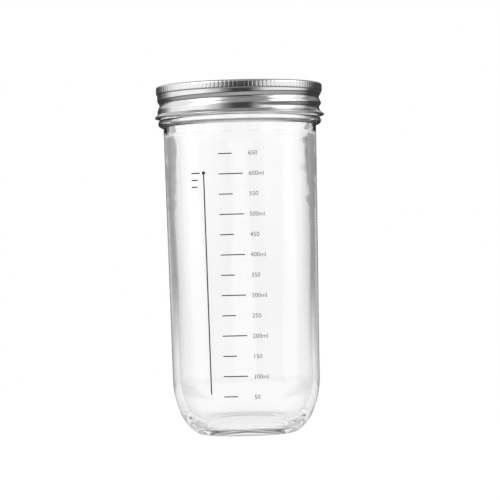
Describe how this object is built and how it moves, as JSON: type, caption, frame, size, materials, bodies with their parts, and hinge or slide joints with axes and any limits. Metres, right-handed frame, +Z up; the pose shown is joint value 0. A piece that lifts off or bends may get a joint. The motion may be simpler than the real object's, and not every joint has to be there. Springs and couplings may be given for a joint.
{
  "type": "glass storage jar with screw band lid",
  "caption": "Tall clear glass jar with a printed measuring scale, a soft rounded foot and a two-piece metal screw lid.",
  "frame": {"origin": "centre of the foot, on the surface the jar stands on", "axes": "+Z up the jar's axis to the lid; the printed scale faces -Y; +X is to the right of the scale"},
  "size_m": [0.085, 0.085, 0.175],
  "materials": {
    "glass": "clear, smooth, slightly wavy inside",
    "tinplate": "bright rolled sheet with a satin sheen",
    "disc": "bright rolled sheet",
    "seal": "matt",
    "ink": "dull printed enamel"
  },
  "bodies": {
    "jar": {"glass_jar": "glass", "short_marks": "ink", "long_marks": "ink", "fed_line": "ink", "fed_strokes": "ink"},
    "lid": {"lid_disc": "disc", "lid_seal": "seal"},
    "band": {"screw_band": "tinplate"}
  },
  "joints": [
    {"name": "lid_lift", "type": "slide", "parent": "jar", "child": "lid", "axis": [0, 0, 1], "range_m": [0, 0.0205]},
    {"name": "band_turn", "type": "hinge", "parent": "lid", "child": "band", "pos_m": [0, 0, 0.175], "axis": [0, 0, 1], "range_deg": [0, 1440]}
  ],
  "couplings": [
    {"joint": "lid_lift", "follows": "band_turn", "m_per_rad": 0.00081169}
  ]
}
